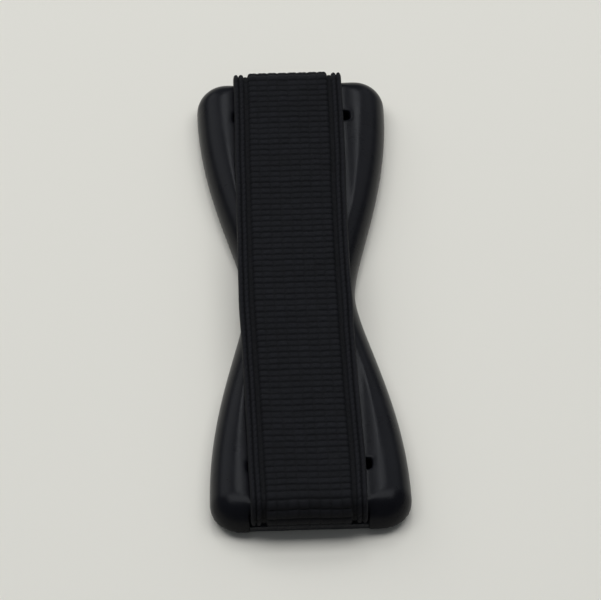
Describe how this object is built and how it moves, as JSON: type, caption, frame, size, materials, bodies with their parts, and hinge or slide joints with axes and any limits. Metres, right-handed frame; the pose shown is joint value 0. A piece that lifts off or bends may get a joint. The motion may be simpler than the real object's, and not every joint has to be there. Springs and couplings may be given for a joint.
{
  "type": "elastic phone finger grip",
  "caption": "Hourglass plastic plate with a ribbed elastic strap stretched over it and round its ends, and an adhesive pad that sticks it to a phone; a finger slips under the strap.",
  "frame": {"origin": "middle of the adhesive pad's sticking face", "axes": "+Z away from the surface the grip is stuck to, +Y along the strap, +X across it"},
  "size_m": [0.022, 0.0662, 0.0055],
  "materials": {
    "plate_plastic": "moulded, glossy black",
    "strap_elastic": "woven elastic, matte black",
    "pad_foam": "die-cut foam tape, matte dark grey"
  },
  "bodies": {
    "root": {"base_plate": "plate_plastic", "elastic_strap": "strap_elastic", "adhesive_pad": "pad_foam"}
  },
  "joints": []
}
